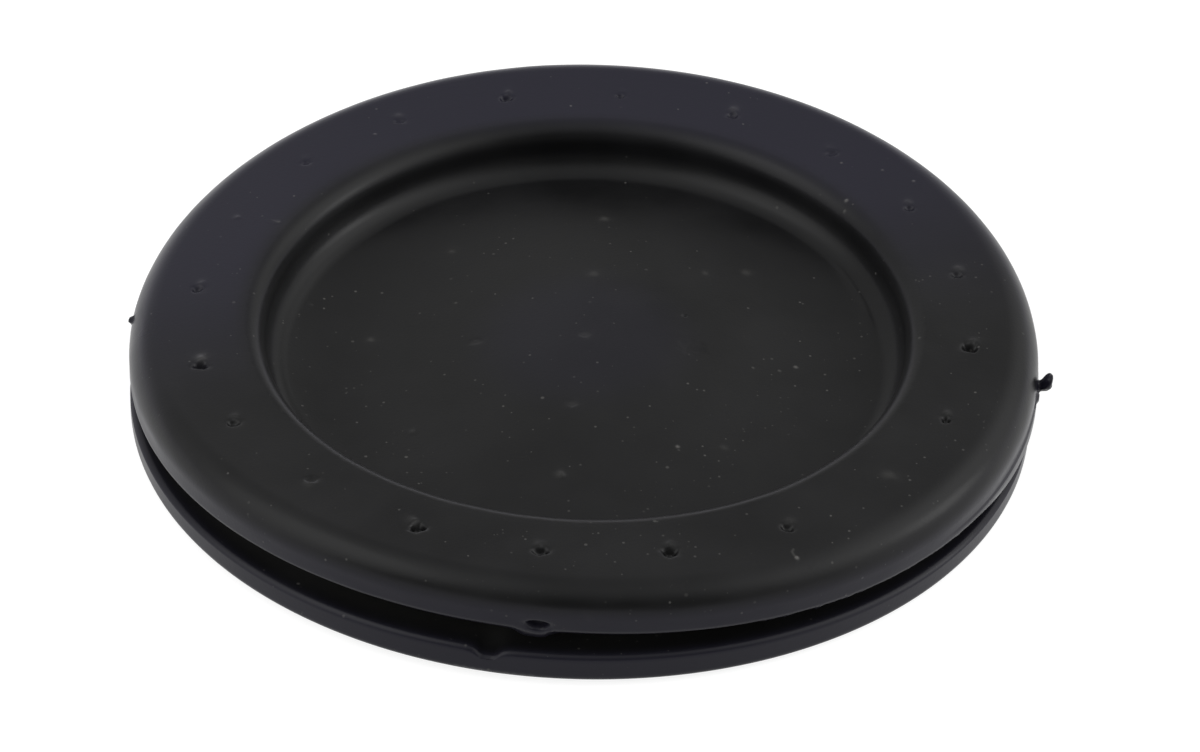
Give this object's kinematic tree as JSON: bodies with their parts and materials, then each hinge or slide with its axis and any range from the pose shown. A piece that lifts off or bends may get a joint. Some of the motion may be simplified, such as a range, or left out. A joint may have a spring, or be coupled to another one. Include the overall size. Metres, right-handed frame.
{
  "type": "blind rubber grommet",
  "caption": "Round one-piece blind rubber grommet: two flanges with a panel groove between them and a domed membrane in a shallow recess that closes the hole.",
  "frame": {"origin": "bottom centre: on the axis, in the plane of the face that it rests on", "axes": "+Z along the axis, from the lower flange to the upper flange; +X towards the gate stub on the upper flange's side, 4 degrees past it"},
  "size_m": [0.0609, 0.06, 0.0079],
  "materials": {
    "rubber": "moulded, semi-matt black"
  },
  "bodies": {
    "root": {"grommet": "rubber"}
  },
  "joints": []
}
